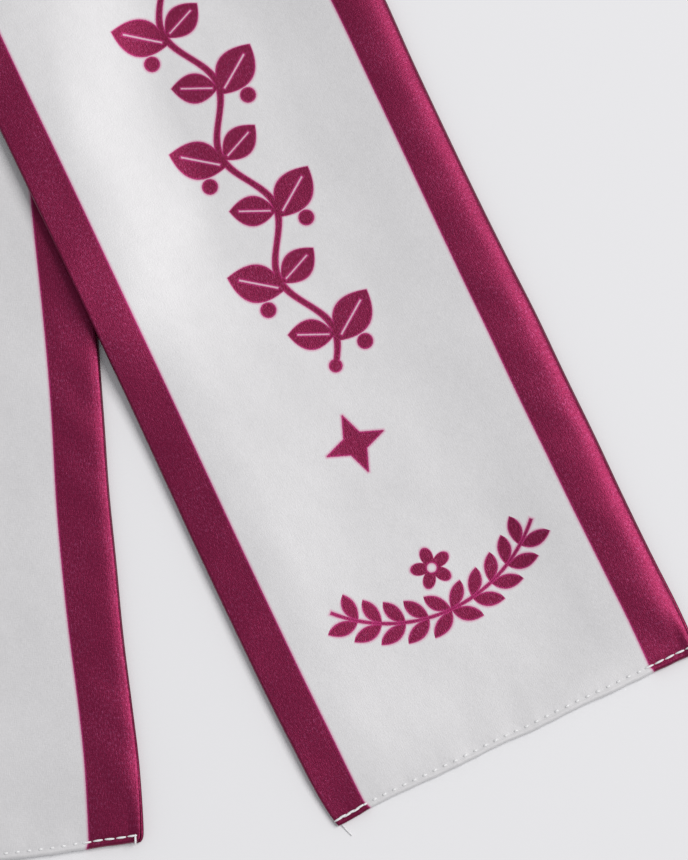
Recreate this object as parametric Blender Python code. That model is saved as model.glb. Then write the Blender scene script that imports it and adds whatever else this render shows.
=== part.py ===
"""A pageant sash laid flat, its front tail crossed over its back tail.

The sash is a long flat tube: a face panel on a back panel, joined along both long edges.
From the front hem it runs up over the back tail to the left end of the neck, is folded
over, crosses to the right end, is folded over again and runs down to the back hem.
Each panel is built as three stretches: front tail, neck and back tail. A stretch is a
flat grid with a wall, cut along the strip, and then laid in place by the fold functions.

Metres, +Z up, +Y from the hems to the neck, origin on the table at the middle of the sash.
"""

import math
from collections import namedtuple

import bmesh
import bpy
from mathutils import Vector

MM = 0.001

# Cut of the sash
SASH_LENGTH = 1829 * MM
SASH_WIDTH = 102 * MM
PANEL_WALL = 1.0 * MM
PANEL_GAP = 0.3 * MM

# How it lies: the lean of each tail from +Y, and its reach below the crossing
TAIL_LEAN = math.radians(9.8)
FRONT_REACH = 433 * MM
BACK_REACH = 424 * MM
LAYER_GAP = 0.6 * MM

# How a stretch comes down beside the one it lies on
DRAPE_START = 6 * MM
DRAPE_RUN = 30 * MM

# Spacing of the sections
PLAIN_STEP = 22 * MM
FAN_LENGTH = 190 * MM
FAN_SECTIONS = 13
BEND_SECTIONS = 8
HIDDEN_END = 1.0 * MM

# Worked out from the sizes above
HALF_WIDTH = SASH_WIDTH / 2
SASH_DEPTH = 2 * PANEL_WALL + PANEL_GAP
STACK_RISE = SASH_DEPTH + LAYER_GAP
LEAN_SIN = math.sin(TAIL_LEAN)
LEAN_COS = math.cos(TAIL_LEAN)
TAIL_ARM = (SASH_LENGTH - FRONT_REACH - BACK_REACH) / (2 + 2 * LEAN_SIN)
NECK_LENGTH = 2 * TAIL_ARM * LEAN_SIN
CREASE_ANGLE = math.pi / 4 - TAIL_LEAN / 2
CREASE_SLANT = math.tan(CREASE_ANGLE)
CREASE_ACROSS = math.cos(CREASE_ANGLE)
BEND_RADIUS = (LAYER_GAP + SASH_DEPTH) / 2
BEND_REACH = math.pi * BEND_RADIUS / 2
BEND_HEIGHT = SASH_DEPTH + LAYER_GAP / 2

# A point of a panel's long edge: inset from the edge of the sash and height, in
# millimetres, of the panel's upper and under side. Rows run from the edge inwards.
EdgeRow = namedtuple("EdgeRow", "upper_inset upper_height under_inset under_height")

FACE_WRAPPED_EDGE = (
    EdgeRow(0.05, 0.15, 0.85, 0.15),
    EdgeRow(0.00, 1.10, 0.95, 0.90),
    EdgeRow(0.40, 1.90, 1.40, 1.30),
    EdgeRow(1.80, 2.25, 2.40, 1.30),
)
FACE_ROLLED_EDGE = (
    EdgeRow(1.40, 1.75, 1.50, 1.30),
    EdgeRow(2.30, 2.10, 2.50, 1.30),
    EdgeRow(4.50, 2.26, 4.50, 1.30),
)
BACK_PLAIN_EDGE = (
    EdgeRow(1.30, 0.80, 1.30, 0.20),
    EdgeRow(1.70, 1.00, 1.70, 0.00),
)
BACK_ROLLED_EDGE = (
    EdgeRow(0.00, 1.00, 0.00, 0.50),
    EdgeRow(0.20, 1.45, 0.15, 0.12),
    EdgeRow(0.60, 1.60, 0.60, 0.00),
    EdgeRow(1.10, 1.00, 1.10, 0.00),
    EdgeRow(4.50, 1.00, 4.50, 0.00),
)
EDGE_INSET = 8 * MM

# A section near a hem, in millimetres: how far the stitching draws the face down, and
# how far the corners of the turned hem are drawn in at each long edge.
HemRow = namedtuple("HemRow", "distance face_drop wrapped_pull rolled_pull")

HEM_ROWS = (
    HemRow(0.0, 0.60, 2.4, 1.0),
    HemRow(1.2, 0.10, 1.9, 0.2),
    HemRow(2.7, 0.30, 1.6, 0.0),
    HemRow(5.0, 0.05, 1.2, 0.0),
    HemRow(12.0, 0.00, 0.5, 0.0),
    HemRow(24.0, 0.00, 0.0, 0.0),
)
PULL_FALLOFF = 6

# The neck's own sections: where each begins at its lower and upper edge, measured from
# the left fold, how many sections lead up to it, and how high it is lifted there.
NECK_RISE_LOWER = 63 * MM
NECK_RISE_UPPER = 51 * MM
NECK_FLAT_SECTIONS = 4
NECK_RISE_SECTIONS = 8

# A strip's own axes on the table, a fold line, and one section across a stretch.
# The slant moves a section forward at the strip's right edge and back at its left.
Run = namedtuple("Run", "start along across")
Crease = namedtuple("Crease", "point outward")
Section = namedtuple("Section", "along slant lift face_drop wrapped_pull rolled_pull")

CROSSING = Vector((0.0, 0.0))
LEFT_FOLD = CROSSING + TAIL_ARM * Vector((-LEAN_SIN, LEAN_COS))
RIGHT_FOLD = CROSSING + TAIL_ARM * Vector((LEAN_SIN, LEAN_COS))
FRONT_HEM = CROSSING - FRONT_REACH * Vector((-LEAN_SIN, LEAN_COS))
BACK_HEM = CROSSING - BACK_REACH * Vector((LEAN_SIN, LEAN_COS))

FRONT_RUN = Run(FRONT_HEM, Vector((-LEAN_SIN, LEAN_COS)), Vector((LEAN_COS, LEAN_SIN)))
NECK_RUN = Run(LEFT_FOLD, Vector((1.0, 0.0)), Vector((0.0, 1.0)))
BACK_RUN = Run(RIGHT_FOLD, Vector((-LEAN_SIN, -LEAN_COS)), Vector((-LEAN_COS, LEAN_SIN)))

LEFT_CREASE = Crease(LEFT_FOLD, Vector((-CREASE_ACROSS, math.sin(CREASE_ANGLE))))
RIGHT_CREASE = Crease(RIGHT_FOLD, Vector((CREASE_ACROSS, math.sin(CREASE_ANGLE))))

# Middle of the laid sash, which the origin is moved to
PLAN_MIDDLE = Vector((
    (FRONT_HEM.x + BACK_HEM.x + HEM_ROWS[0].wrapped_pull * MM) / 2,
    (FRONT_HEM.y - HALF_WIDTH * LEAN_SIN + LEFT_FOLD.y + HALF_WIDTH) / 2,
))

Finish = namedtuple("Finish", "name colour roughness")

PRINTED_SATIN = Finish("printed satin", (0.63, 0.62, 0.64, 1.0), 0.42)
PLAIN_SATIN = Finish("plain satin", (0.56, 0.55, 0.57, 1.0), 0.48)


def smooth_step(value):
    """Rise from 0 to 1 with level ends as value goes from 0 to 1."""
    value = min(max(value, 0.0), 1.0)
    return value * value * (3 - 2 * value)


def plan_point(run, along, across):
    """Point on the table of a place on the strip."""
    return run.start + run.along * along + run.across * across


def turn_over(point, crease, depth, lift, past_lift):
    """Lay a point over a fold: depth is its height above the fold's inner side."""
    beyond = (point - crease.point).dot(crease.outward)
    if beyond <= -BEND_REACH:
        return point, lift
    if beyond >= BEND_REACH:
        return point - 2 * beyond * crease.outward, past_lift
    angle = (beyond + BEND_REACH) / BEND_RADIUS
    radius = LAYER_GAP / 2 + depth
    reach = radius * math.sin(angle) - BEND_REACH
    laid = point + (reach - beyond) * crease.outward
    return laid, BEND_HEIGHT + radius * math.cos(angle)


def front_lift(point):
    """Height of the front tail's underside: up over what lies below it, else on the table."""
    from_axis = abs(point.x * LEAN_COS - point.y * LEAN_SIN)
    past_back_tail = from_axis - HALF_WIDTH
    below_neck = LEFT_FOLD.y - HALF_WIDTH - point.y
    clear_of_tail = smooth_step((past_back_tail - DRAPE_START) / DRAPE_RUN)
    clear_of_neck = smooth_step((below_neck - DRAPE_START) / DRAPE_RUN)
    return STACK_RISE * (1 - clear_of_tail * clear_of_neck)


def lay_front(section, along, across, height):
    """Front tail, face up on top of the stack, with the fold at its upper end."""
    point = plan_point(FRONT_RUN, along, across)
    lift = front_lift(point) + height
    return turn_over(point, LEFT_CREASE, height, lift, SASH_DEPTH - height)


def lay_neck(section, along, across, height):
    """Neck, face down, lifted over the back tail, with the right fold at its end."""
    point = plan_point(NECK_RUN, along, across)
    depth = SASH_DEPTH - height
    return turn_over(point, RIGHT_CREASE, depth, section.lift + depth, height)


def lay_back(section, along, across, height):
    """Back tail, face up on the table."""
    return plan_point(BACK_RUN, along, across), height


def plain_section(along, slant=0.0, lift=0.0):
    """Section away from the hems, with nothing drawn in."""
    return Section(along, slant, lift, 0.0, 0.0, 0.0)


def hem_sections(hem_along, inward):
    """Sections at a hem, from its edge inwards; inward is the sense along the strip."""
    sections = []
    for row in HEM_ROWS:
        along = hem_along + inward * row.distance * MM
        sections.append(Section(along, 0.0, 0.0, row.face_drop * MM,
                                row.wrapped_pull * MM, row.rolled_pull * MM))
    return sections


def spread(start, end, count):
    """Places after start up to end, at equal steps."""
    return [start + (end - start) * step / count for step in range(1, count + 1)]


def bend_sections(along_at_crease, slant):
    """Sections parallel to a crease, from the start of its bend to the hidden end."""
    stops = spread(-BEND_REACH, BEND_REACH, BEND_SECTIONS) + [BEND_REACH + HIDDEN_END]
    return [plain_section(along_at_crease + stop / CREASE_ACROSS, slant) for stop in stops]


def fanned_tail(crease_along, start_along):
    """Plain sections from start_along, then sections that turn parallel to the crease."""
    fan_start = crease_along - FAN_LENGTH
    plain_count = round((fan_start - start_along) / PLAIN_STEP)
    sections = [plain_section(along) for along in spread(start_along, fan_start, plain_count)]
    for share in spread(0.0, 1.0, FAN_SECTIONS):
        sections.append(plain_section(fan_start + share * FAN_LENGTH, share * CREASE_SLANT))
    return sections


def front_sections():
    """Sections of the front tail, from its hem to just past the left fold."""
    crease_along = FRONT_REACH + TAIL_ARM
    bend_start = crease_along - BEND_REACH / CREASE_ACROSS
    hem = hem_sections(0.0, 1)
    tail = fanned_tail(bend_start, hem[-1].along)
    return hem + tail + bend_sections(crease_along, CREASE_SLANT)


def back_sections():
    """Sections of the back tail, from just past the right fold to its hem."""
    tail_end = TAIL_ARM + BACK_REACH
    upper_end = (BEND_REACH + HIDDEN_END + PANEL_GAP) / CREASE_ACROSS
    hem = hem_sections(tail_end, -1)
    tail = fanned_tail(tail_end - upper_end, tail_end - hem[-1].along)
    turned = [section._replace(along=tail_end - section.along, slant=-section.slant)
              for section in tail]
    return list(reversed(hem + turned))


def neck_section(lower, upper, lift):
    """Section of the neck from its places at the lower and the upper edge."""
    return plain_section((lower + upper) / 2, (upper - lower) / SASH_WIDTH, lift)


def neck_sections():
    """Sections of the neck, from just past the left fold to just past the right one."""
    first = (BEND_REACH + HIDDEN_END + PANEL_GAP) / CREASE_ACROSS
    skew = CREASE_SLANT * HALF_WIDTH
    last = NECK_LENGTH - BEND_REACH / CREASE_ACROSS
    guides = (
        (first - skew, first + skew, 0.0, 0),
        (NECK_RISE_LOWER, NECK_RISE_UPPER, 0.0, NECK_FLAT_SECTIONS),
        (NECK_LENGTH - NECK_RISE_LOWER, NECK_LENGTH - NECK_RISE_UPPER,
         STACK_RISE, NECK_RISE_SECTIONS),
        (last + skew, last - skew, STACK_RISE, NECK_FLAT_SECTIONS),
    )
    sections = [neck_section(*guides[0][:3])]
    for before, after in zip(guides, guides[1:]):
        for share in spread(0.0, 1.0, after[3]):
            lower = before[0] + (after[0] - before[0]) * share
            upper = before[1] + (after[1] - before[1]) * share
            lift = before[2] + (after[2] - before[2]) * smooth_step(share)
            sections.append(neck_section(lower, upper, lift))
    return sections + bend_sections(NECK_LENGTH, -CREASE_SLANT)


def profile(left_edge, right_edge, upper, under, middle_columns):
    """Points across a panel, left to right: (upper place, height, under place, height)."""
    left = [(-HALF_WIDTH + row.upper_inset * MM, row.upper_height * MM,
             -HALF_WIDTH + row.under_inset * MM, row.under_height * MM)
            for row in left_edge]
    right = [(HALF_WIDTH - row.upper_inset * MM, row.upper_height * MM,
              HALF_WIDTH - row.under_inset * MM, row.under_height * MM)
             for row in reversed(right_edge)]
    inner = HALF_WIDTH - EDGE_INSET
    places = [-inner] + spread(-inner, inner, middle_columns)
    return left + [(place, upper, place, under) for place in places] + right


def face_profile(rolled_side, middle_columns):
    """The face panel's points across, with the rolled edge on the side given."""
    edges = [FACE_WRAPPED_EDGE, FACE_ROLLED_EDGE][::rolled_side]
    return profile(*edges, SASH_DEPTH, SASH_DEPTH - PANEL_WALL, middle_columns)


def back_profile(rolled_side, middle_columns):
    """The back panel's points across, with the rolled edge on the side given."""
    edges = [BACK_PLAIN_EDGE, BACK_ROLLED_EDGE][::rolled_side]
    return profile(*edges, PANEL_WALL, 0.0, middle_columns)


def drawn_in(across, section, rolled_side):
    """Place across the strip after the hem's corners are drawn in."""
    on_rolled_side = across * rolled_side > 0
    pull = section.rolled_pull if on_rolled_side else section.wrapped_pull
    share = (abs(across) / HALF_WIDTH) ** PULL_FALLOFF
    return across - math.copysign(pull * share, across)


def satin(finish):
    """Material with the cloth's colour and gloss."""
    material = bpy.data.materials.new(finish.name)
    material.use_nodes = True
    shader = material.node_tree.nodes["Principled BSDF"]
    shader.inputs["Base Color"].default_value = finish.colour
    shader.inputs["Roughness"].default_value = finish.roughness
    shader.inputs["Metallic"].default_value = 0.0
    material.diffuse_color = finish.colour
    return material


def flat_grid(columns, sections):
    """A grid with a wall, one unit high, whose points sit at whole steps."""
    mesh = bmesh.new()
    bmesh.ops.create_grid(mesh, x_segments=columns, y_segments=sections, size=1.0)
    for vert in mesh.verts:
        vert.co.x = round((vert.co.x + 1) / 2 * columns)
        vert.co.y = round((vert.co.y + 1) / 2 * sections)
    wall = bmesh.ops.extrude_face_region(mesh, geom=mesh.faces[:], use_keep_orig=True)
    raised = [item for item in wall["geom"] if isinstance(item, bmesh.types.BMVert)]
    bmesh.ops.translate(mesh, verts=raised, vec=(0.0, 0.0, 1.0))
    return mesh


def lay_panel(name, sections, points, rolled_side, is_face, lay, material, collection):
    """Build one stretch of a panel as a closed wall and lay it in place."""
    grid = flat_grid(len(points) - 1, len(sections) - 1)
    for vert in grid.verts:
        upper_place, upper_height, under_place, under_height = points[round(vert.co.x)]
        section = sections[round(vert.co.y)]
        on_top = vert.co.z > 0.5
        place = upper_place if on_top else under_place
        height = upper_height if on_top else under_height
        if on_top and is_face:
            height = max(height - section.face_drop, min(height, under_height + PANEL_GAP))
        across = drawn_in(place, section, rolled_side)
        along = section.along + section.slant * place
        plan, level = lay(section, along, across, height)
        plan = plan - PLAN_MIDDLE
        vert.co = (plan.x, plan.y, level)
    bmesh.ops.recalc_face_normals(grid, faces=grid.faces)
    if grid.calc_volume(signed=True) < 0:
        bmesh.ops.reverse_faces(grid, faces=grid.faces)
    mesh = bpy.data.meshes.new(name)
    grid.to_mesh(mesh)
    grid.free()
    mesh.materials.append(material)
    mesh.shade_smooth()
    mesh.set_sharp_from_angle(angle=math.radians(35))
    collection.objects.link(bpy.data.objects.new(name, mesh))


def build_sash():
    """Clear the scene and build the six panel stretches."""
    for leftover in list(bpy.data.objects):
        bpy.data.objects.remove(leftover)
    collection = bpy.data.collections.new("pageant_sash")
    bpy.context.scene.collection.children.link(collection)
    printed = satin(PRINTED_SATIN)
    plain = satin(PLAIN_SATIN)
    stretches = (
        ("front_tail", front_sections(), 1, 7, lay_front),
        ("neck", neck_sections(), 1, 2, lay_neck),
        ("back_tail", back_sections(), -1, 2, lay_back),
    )
    for name, sections, rolled_side, middle, lay in stretches:
        lay_panel(name + "_face", sections, face_profile(rolled_side, middle),
                  rolled_side, True, lay, printed, collection)
        lay_panel(name + "_back", sections, back_profile(rolled_side, middle),
                  rolled_side, False, lay, plain, collection)


build_sash()
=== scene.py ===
"""Models and finishes a printed satin sash that is laid flat, one tail crossed over the other.

The sash is a long flat tube of two panels. Every panel is a thin grid of cloth, shaped in
the strip's own axes and then laid in place: along the strip, across it, and up from its
underside. A place across is counted towards the edge where the back panel rolls out past
the seam, which lies to the right on both tails.
"""

import math
from collections import namedtuple

import bmesh
import bpy
from bpy.props import FloatProperty, FloatVectorProperty, PointerProperty
from mathutils import Euler, Matrix, Vector, noise


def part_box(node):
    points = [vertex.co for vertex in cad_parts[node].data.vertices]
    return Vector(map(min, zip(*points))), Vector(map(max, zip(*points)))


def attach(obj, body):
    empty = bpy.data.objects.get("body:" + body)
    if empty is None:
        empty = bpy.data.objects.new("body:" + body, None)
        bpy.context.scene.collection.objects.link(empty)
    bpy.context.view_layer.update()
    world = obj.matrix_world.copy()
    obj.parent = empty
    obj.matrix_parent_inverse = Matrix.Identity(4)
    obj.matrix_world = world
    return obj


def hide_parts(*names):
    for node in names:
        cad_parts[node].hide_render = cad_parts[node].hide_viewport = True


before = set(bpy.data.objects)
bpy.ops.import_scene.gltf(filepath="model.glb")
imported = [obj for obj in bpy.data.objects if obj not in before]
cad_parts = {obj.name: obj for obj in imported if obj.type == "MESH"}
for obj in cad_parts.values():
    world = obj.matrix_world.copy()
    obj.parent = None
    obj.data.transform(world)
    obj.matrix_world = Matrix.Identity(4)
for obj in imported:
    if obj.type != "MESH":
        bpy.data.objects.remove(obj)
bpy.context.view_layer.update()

bl_info = {
    "name": "Pageant Sash",
    "version": (1, 0, 0),
    "blender": (4, 5, 0),
    "location": "View3D > Sidebar > Sash",
    "description": "Models a printed satin sash laid flat, with its sewing and its stage",
    "category": "Add Mesh",
}

MM = 0.001
BODY = "root"

# How far a panel may stand past the solid that it replaces
NODE_MARGIN = 3 * MM

# From one hem stitch to the next, and so from one puckered hole to the next
PITCH = 2.86 * MM


# Sizes and colours that a user would change

def length_property(name, description, default):
    """A size in metres."""
    return FloatProperty(name=name, description=description, default=default,
                         precision=5, unit="LENGTH")


def angle_property(name, description, degrees):
    """An angle, given in degrees and kept in radians."""
    return FloatProperty(name=name, description=description,
                         default=math.radians(degrees), subtype="ANGLE")


def colour_property(name, description, default):
    """A linear colour."""
    return FloatVectorProperty(name=name, description=description, default=default,
                               size=3, min=0.0, max=1.0, subtype="COLOR")


class SashCut(bpy.types.PropertyGroup):
    """Cut of the sash and thickness of its cloth."""

    length: length_property("Length", "From hem to hem along the strip", 1829 * MM)
    width: length_property("Width", "From edge to edge of the finished strip", 102 * MM)
    wall: length_property("Wall", "Thickness that each panel takes up", 1.0 * MM)
    gap: length_property("Gap", "Room between the panels", 0.3 * MM)
    cloth: length_property("Cloth", "Thickness of the satin itself", 0.35 * MM)


class SashLay(bpy.types.PropertyGroup):
    """How the sash lies."""

    lean: angle_property("Lean", "Lean of each tail from straight down", 9.8)
    front_reach: length_property("Front reach", "From the crossing to the front hem", 433 * MM)
    back_reach: length_property("Back reach", "From the crossing to the back hem", 424 * MM)
    layer_gap: length_property("Layer gap", "Room between crossed stretches", 0.6 * MM)
    drape_start: length_property("Drape start", "Where the upper tail starts down", 6 * MM)
    drape_run: length_property("Drape run", "Over what width it comes down", 30 * MM)


class SashPrint(bpy.types.PropertyGroup):
    """Printed bands and motifs."""

    front_left_band: length_property("Front left band", "Width at the wrapped edge", 10.2 * MM)
    front_right_band: length_property("Front right band", "Width at the rolled edge",
                                      12.7 * MM)
    back_left_band: length_property("Back left band", "Width at the wrapped edge", 10.4 * MM)
    back_right_band: length_property("Back right band", "Width at the rolled edge", 13.4 * MM)
    star_across: length_property("Star across", "Star from the middle line", -4.0 * MM)
    star_along: length_property("Star along", "Star above the front hem", 84.0 * MM)
    star_reach: length_property("Star reach", "From the star's middle to a point", 8.2 * MM)
    vine_start: length_property("Vine start", "Lower end of the vine above the hem", 104 * MM)
    vine_end: length_property("Vine end", "Upper end of the vine above the hem", 349 * MM)
    garland_along: length_property("Garland along", "Lowest point of its stem", 36 * MM)
    satin: colour_property("Satin", "White ground", (0.655, 0.648, 0.662))
    ink: colour_property("Ink", "Raspberry of bands and motifs", (0.172, 0.0052, 0.043))
    # The glint colour is partly paler weft threads and partly painted glints of the satin's
    # sheen
    glint: colour_property("Glint", "Paler threads in the ink", (0.32, 0.058, 0.16))
    rim: colour_property("Rim", "Stronger line along a printed edge", (0.33, 0.013, 0.115))
    fringe: colour_property("Fringe", "Pink that bleeds into the ground", (0.62, 0.36, 0.47))


class SashSewing(bpy.types.PropertyGroup):
    """Topstitching of the hems."""

    pitch: length_property("Pitch", "From one stitch to the next", PITCH)
    stitch: length_property("Stitch", "Length of thread that shows", 2.55 * MM)
    thread: length_property("Thread", "Thickness of the thread", 0.56 * MM)
    colour: colour_property("Colour", "White thread", (0.86, 0.86, 0.87))


class SashStage(bpy.types.PropertyGroup):
    """Floor, light and camera."""

    floor: colour_property("Floor", "Pale table", (0.80, 0.80, 0.82))
    distance: length_property("Camera distance", "From the aim to the lens", 0.8)
    aim_across: length_property("Aim across", "Aim from the front tail's middle", -5.1 * MM)
    aim_along: length_property("Aim along", "Aim above the front hem", 88.3 * MM)
    tilt: angle_property("Tilt", "Camera's lean from straight down", 6.2)
    turn: angle_property("Turn", "Camera's turn from the front tail", -25.23)
    view_angle: angle_property("View angle", "What the picture's height takes in", 15.425)


# Where each place of the strip comes to lie

Run = namedtuple("Run", "start along across")
Crease = namedtuple("Crease", "point outward")
Row = namedtuple("Row", "along slant lift")

FAN_LENGTH = 190 * MM
HIDDEN_END = 1.0 * MM
CORNER_PULL = 2.4 * MM

# The front tail comes down off the back tail over more of its width near its hem
LOW_DRAPE = 36 * MM
LOW_DRAPE_TOP = 150 * MM
LOW_DRAPE_FADE = 60 * MM

# It starts down sooner above the crossing than below it
EARLY_DRAPE = 3 * MM
EARLY_MORE = 9 * MM
EARLY_ALONG = 150 * MM
EARLY_RUN = 38 * MM

# Its hem lies on the table, and it rises from there
FLAT_REACH = 5 * MM
OFF_TABLE_RUN = 60 * MM

# It sinks a little into the back tail and lifts its left part, both only below the folds
NESTLE = 0.35 * MM
FOLDS_FROM = 300 * MM
FOLDS_FADE = 110 * MM
UPPER_RISE = 1.35 * MM
UPPER_RISE_ALONG = 92 * MM
UPPER_RISE_RUN = 55 * MM
UPPER_RISE_LEFT = -52 * MM
UPPER_RISE_WIDTH = 44 * MM

# Its left edge stands up where it leaves the back tail, and comes down past it
LEFT_RISE = 0.60 * MM
LEFT_RISE_ALONG = 155 * MM
LEFT_RISE_REACH = 40 * MM
LEFT_RISE_WIDTH = 18 * MM
LEFT_FALL = 0.85
LEFT_FALL_TOP = 142 * MM
LEFT_FALL_FADE = 28 * MM
LEFT_FALL_WIDTH = 75 * MM


def smooth_step(value):
    """Rise from 0 to 1 with level ends as value goes from 0 to 1."""
    value = min(max(value, 0.0), 1.0)
    return value * value * (3 - 2 * value)


class Layout:
    """The laid sash, worked out from the sizes that drive it."""

    def __init__(self, cut, lay):
        self.half = cut.width / 2
        self.wall = cut.wall
        self.gap = cut.gap
        self.depth = 2 * cut.wall + cut.gap
        self.layer_gap = lay.layer_gap
        self.rise = self.depth + lay.layer_gap
        self.sin = math.sin(lay.lean)
        self.cos = math.cos(lay.lean)
        self.drape_start = lay.drape_start
        self.drape_run = lay.drape_run
        self.front_reach = lay.front_reach
        self.back_reach = lay.back_reach
        unseen = cut.length - lay.front_reach - lay.back_reach
        self.arm = unseen / (2 + 2 * self.sin)
        self.neck_length = 2 * self.arm * self.sin
        self.lay_creases(lay)
        self.lay_runs()

    def lay_creases(self, lay):
        """Sizes of the two folds."""
        angle = math.pi / 4 - lay.lean / 2
        self.slant = math.tan(angle)
        self.crease_across = math.cos(angle)
        self.crease_up = math.sin(angle)
        self.bend_radius = self.rise / 2
        self.bend_reach = math.pi * self.bend_radius / 2
        self.bend_height = self.depth + self.layer_gap / 2
        self.past_bend = (self.bend_reach + HIDDEN_END + self.gap) / self.crease_across

    def lay_runs(self):
        """Start and axes of each stretch, with the origin at the middle of the sash."""
        lean_left = Vector((-self.sin, self.cos))
        lean_right = Vector((self.sin, self.cos))
        left_fold = self.arm * lean_left
        right_fold = self.arm * lean_right
        front_hem = -self.front_reach * lean_left
        back_hem = -self.back_reach * lean_right
        lowest = front_hem.y - self.half * self.sin
        highest = left_fold.y + self.half
        self.middle = Vector(((front_hem.x + back_hem.x + CORNER_PULL) / 2,
                              (lowest + highest) / 2))
        self.neck_top = left_fold.y
        self.front = Run(front_hem, lean_left, Vector((self.cos, self.sin)))
        self.neck = Run(left_fold, Vector((1.0, 0.0)), Vector((0.0, 1.0)))
        self.back = Run(right_fold, -lean_right, Vector((-self.cos, self.sin)))
        outward = Vector((self.crease_across, self.crease_up))
        self.left_crease = Crease(left_fold, Vector((-outward.x, outward.y)))
        self.right_crease = Crease(right_fold, outward)

    def on_table(self, run, along, across):
        """Point of the plan."""
        return run.start + run.along * along + run.across * across

    def turn_over(self, point, crease, depth, lift, past_lift):
        """Lay a point over a fold; depth is its height above the fold's inner side."""
        beyond = (point - crease.point).dot(crease.outward)
        if beyond <= -self.bend_reach:
            return point, lift
        if beyond >= self.bend_reach:
            return point - 2 * beyond * crease.outward, past_lift
        angle = (beyond + self.bend_reach) / self.bend_radius
        radius = self.layer_gap / 2 + depth
        reach = radius * math.sin(angle) - self.bend_reach
        laid = point + (reach - beyond) * crease.outward
        return laid, self.bend_height + radius * math.cos(angle)

    def front_lift(self, point, along, across):
        """Height of the front tail's underside, over what it lies on."""
        low = smooth_step((LOW_DRAPE_TOP - along) / LOW_DRAPE_FADE)
        run = self.drape_run + LOW_DRAPE * low
        early = EARLY_DRAPE + EARLY_MORE * smooth_step((along - EARLY_ALONG) / EARLY_RUN)
        from_axis = abs(point.x * self.cos - point.y * self.sin)
        past_tail = (from_axis - self.half - self.drape_start + early) / run
        below_neck = self.neck_top - self.half - point.y
        past_neck = (below_neck - self.drape_start) / self.drape_run
        off_table = smooth_step((along - FLAT_REACH) / OFF_TABLE_RUN)
        below_folds = 1 - smooth_step((along - FOLDS_FROM) / FOLDS_FADE)
        lift = self.rise - NESTLE * below_folds
        lift *= (1 - smooth_step(past_tail) * smooth_step(past_neck)) * off_table
        upper = smooth_step((along - UPPER_RISE_ALONG) / UPPER_RISE_RUN) * below_folds
        left = 1 - smooth_step((across - UPPER_RISE_LEFT) / UPPER_RISE_WIDTH)
        return self.left_edge_lift(lift, along, across) + UPPER_RISE * upper * left

    def left_edge_lift(self, lift, along, across):
        """The lift, changed near the left edge of the front tail."""
        from_left = across + self.half
        fallen = LEFT_FALL * smooth_step((LEFT_FALL_TOP - along) / LEFT_FALL_FADE)
        lift *= 1 - fallen * max(0.0, 1 - from_left / LEFT_FALL_WIDTH) ** 2
        over_tail = smooth_step(1 - abs(along - LEFT_RISE_ALONG) / LEFT_RISE_REACH)
        outer = max(0.0, 1 - from_left / LEFT_RISE_WIDTH)
        return lift + LEFT_RISE * over_tail * outer ** 2

    def placed(self, plan, level):
        """A point of the frame."""
        plan = plan - self.middle
        return Vector((plan.x, plan.y, level))

    def lay_front(self, row, along, across, height):
        """Front tail, face up on top of the stack, folded at its upper end."""
        point = self.on_table(self.front, along, across)
        lift = self.front_lift(point, along, across) + height
        return self.placed(*self.turn_over(
            point, self.left_crease, height, lift, self.depth - height))

    def lay_neck(self, row, along, across, height):
        """Neck, face down, lifted over the back tail, folded at its right end."""
        point = self.on_table(self.neck, along, across)
        depth = self.depth - height
        return self.placed(*self.turn_over(
            point, self.right_crease, depth, row.lift + depth, height))

    def lay_back(self, row, along, across, height):
        """Back tail, face up on the table."""
        return self.placed(self.on_table(self.back, along, across), height)


# Rows along a stretch and columns across a panel

HEM_STEP = 0.10 * MM
HEM_GROWTH = 1.22
SEEN_END = 245 * MM
UNSEEN_STEP = 7 * MM
LAST_STEP_ROOM = 1.5
FAN_ROWS = 26
BEND_ROWS = 12
NECK_RISE_LOWER = 63 * MM
NECK_RISE_UPPER = 51 * MM
NECK_FLAT_ROWS = 12
NECK_RISE_ROWS = 22


def spread(start, end, count):
    """Places after start up to end, at equal steps."""
    return [start + (end - start) * step / count for step in range(1, count + 1)]


def growing(start, end, first, growth, largest):
    """Places after start up to end, whose steps grow from first to largest."""
    places = []
    place = start
    step = first
    while place + LAST_STEP_ROOM * step < end:
        place += step
        places.append(place)
        step = min(step * growth, largest)
    return places + [end]


def tail_rows(end, seen_step):
    """Rows from a hem to a fold: fine at the hem, and turned to lie along the fold."""
    fan_start = end - FAN_LENGTH
    seen = growing(0.0, SEEN_END, HEM_STEP, HEM_GROWTH, seen_step)
    unseen = growing(SEEN_END, fan_start, seen_step, HEM_GROWTH, UNSEEN_STEP)
    return [0.0] + seen + unseen, fan_start


def bend_rows(layout, along, slant):
    """Rows parallel to a crease, from the start of its bend to the hidden end."""
    reach = layout.bend_reach
    stops = spread(-reach, reach, BEND_ROWS) + [reach + HIDDEN_END]
    return [Row(along + stop / layout.crease_across, slant, 0.0) for stop in stops]


def front_rows(layout, seen_step):
    """Rows of the front tail, from its hem to just past the left fold."""
    crease = layout.front_reach + layout.arm
    bend_start = crease - layout.bend_reach / layout.crease_across
    plain, fan_start = tail_rows(bend_start, seen_step)
    rows = [Row(along, 0.0, 0.0) for along in plain]
    for share in spread(0.0, 1.0, FAN_ROWS):
        rows.append(Row(fan_start + share * FAN_LENGTH, share * layout.slant, 0.0))
    return rows + bend_rows(layout, crease, layout.slant)


def back_rows(layout, seen_step):
    """Rows of the back tail, from just past the right fold to its hem."""
    tail_end = layout.arm + layout.back_reach
    plain, fan_start = tail_rows(tail_end - layout.past_bend, seen_step)
    rows = [Row(tail_end - from_hem, 0.0, 0.0) for from_hem in plain]
    for share in spread(0.0, 1.0, FAN_ROWS):
        from_hem = fan_start + share * FAN_LENGTH
        rows.append(Row(tail_end - from_hem, -share * layout.slant, 0.0))
    return list(reversed(rows))


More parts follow.
